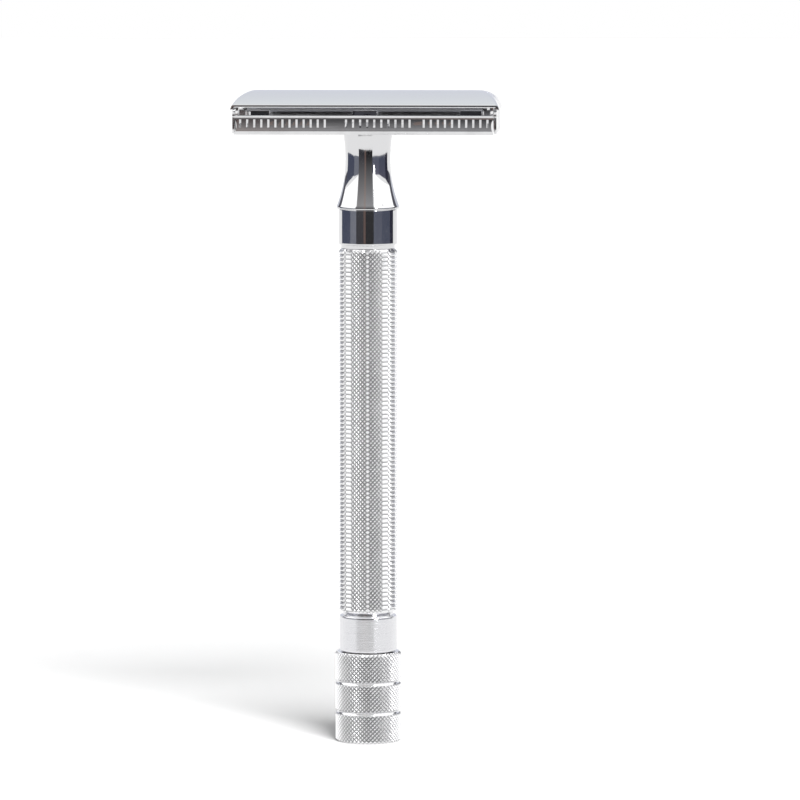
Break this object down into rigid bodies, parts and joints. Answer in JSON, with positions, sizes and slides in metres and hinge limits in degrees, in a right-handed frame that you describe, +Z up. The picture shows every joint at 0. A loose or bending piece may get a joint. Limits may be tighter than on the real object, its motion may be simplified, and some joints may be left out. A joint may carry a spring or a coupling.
{
  "type": "safety razor",
  "caption": "Twist-to-open double-edge safety razor with a domed butterfly cap, slotted guard bars, flared neck and slender knurled handle ending in a grooved turning knob.",
  "frame": {"origin": "centre of the knob's flat foot, on the handle's axis", "axes": "+Z up the handle to the ridge of the cap, +X along the blade, -Y towards the front door and front guard"},
  "size_m": [0.0448, 0.0264, 0.1104],
  "materials": {
    "chrome": "polished plating",
    "polished_steel": "polished",
    "satin_metal": "satin, finely turned",
    "knurled_metal": "diamond knurled, plated",
    "blade_steel": "ground, bright edge",
    "bright_steel": "bright drawn",
    "brass": "machined",
    "washer_plastic": "natural nylon"
  },
  "bodies": {
    "handle": {"lower_ferrule": "satin_metal", "barrel": "knurled_metal", "guide_bush": "brass", "collar": "polished_steel", "neck": "polished_steel", "neck_rivets": "bright_steel", "tray": "chrome", "bar_guides": "bright_steel", "blade_locating_pins": "bright_steel", "end_plate_left": "chrome", "end_plate_right": "chrome", "pivot_pins": "bright_steel", "blade": "blade_steel"},
    "knob": {"knob": "knurled_metal", "thrust_washer": "washer_plastic", "drive_sleeve": "bright_steel", "retaining_ring": "bright_steel", "drive_nut": "brass"},
    "lift": {"lift_rod": "bright_steel", "rod_stop_collar": "bright_steel", "lift_bar": "bright_steel", "lift_pins": "bright_steel"},
    "front_door": {"front_door": "chrome"},
    "back_door": {"back_door": "chrome"}
  },
  "joints": [
    {"name": "knob_turn", "type": "hinge", "parent": "handle", "child": "knob", "pos_m": [0, 0, 0.008], "axis": [0, 0, -1], "range_deg": [0, 540]},
    {"name": "lift_slide", "type": "slide", "parent": "handle", "child": "lift", "axis": [0, 0, 1], "range_m": [0, 0.0036]},
    {"name": "front_door_swing", "type": "hinge", "parent": "handle", "child": "front_door", "pos_m": [0, -0.0105, 0.10635], "axis": [1, 0, 0], "range_deg": [0, 80]},
    {"name": "back_door_swing", "type": "hinge", "parent": "handle", "child": "back_door", "pos_m": [0, 0.0105, 0.10635], "axis": [-1, 0, 0], "range_deg": [0, 80]}
  ],
  "couplings": [
    {"joint": "knob_turn", "follows": "lift_slide", "rad_per_m": 2618},
    {"joint": "front_door_swing", "follows": "lift_slide", "rad_per_m": 387.85},
    {"joint": "back_door_swing", "follows": "lift_slide", "rad_per_m": 387.85}
  ]
}
